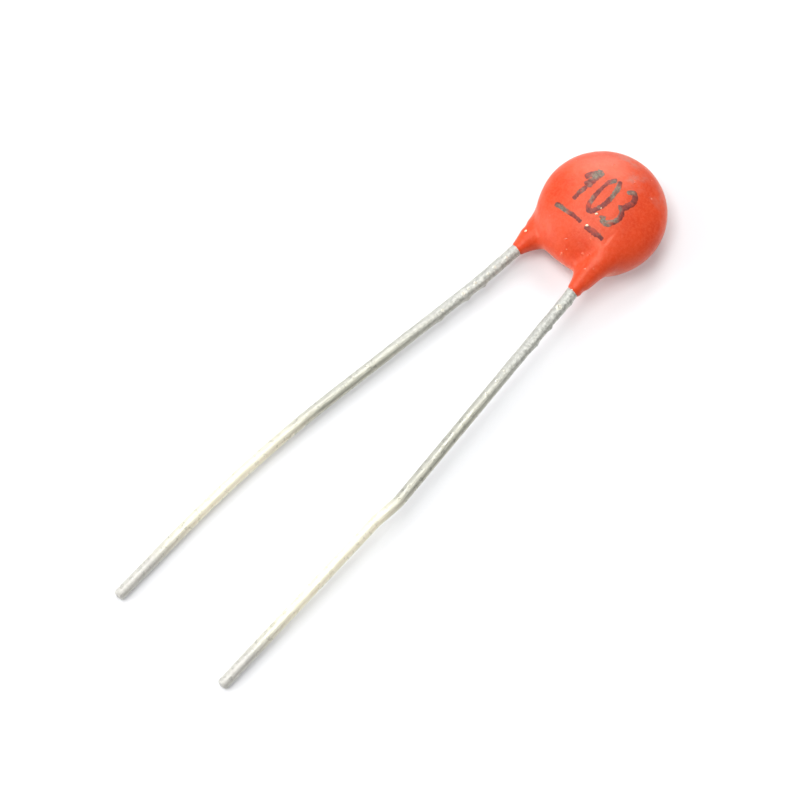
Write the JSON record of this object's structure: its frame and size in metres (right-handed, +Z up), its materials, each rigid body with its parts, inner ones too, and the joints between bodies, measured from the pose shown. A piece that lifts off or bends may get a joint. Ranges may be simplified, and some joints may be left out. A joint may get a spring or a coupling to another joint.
{
  "type": "ceramic disc capacitor",
  "caption": "Dipped ceramic disc capacitor: an orange-red resin-coated disc with long tinned wire leads, lying flat, bent by handling.",
  "frame": {"origin": "middle of the part's box, on the surface that it lies on", "axes": "+Y runs from the cut tips of the leads towards the disc, +Z is up, away from the surface, and the front lead is on the upper face of the disc at +X"},
  "size_m": [0.0078, 0.031, 0.003],
  "materials": {
    "ceramic": "fired titanate ceramic, matt",
    "electrode": "fired silver film, matt",
    "lead": "tinned wire, satin, with lumps of tin near the resin",
    "solder": "soft solder, satin",
    "resin": "dipped orange-red resin, satin, worn at one edge"
  },
  "bodies": {
    "root": {"ceramic_disc": "ceramic", "front_electrode": "electrode", "back_electrode": "electrode", "front_lead": "lead", "back_lead": "lead", "front_solder": "solder", "back_solder": "solder", "coating": "resin"}
  },
  "joints": []
}
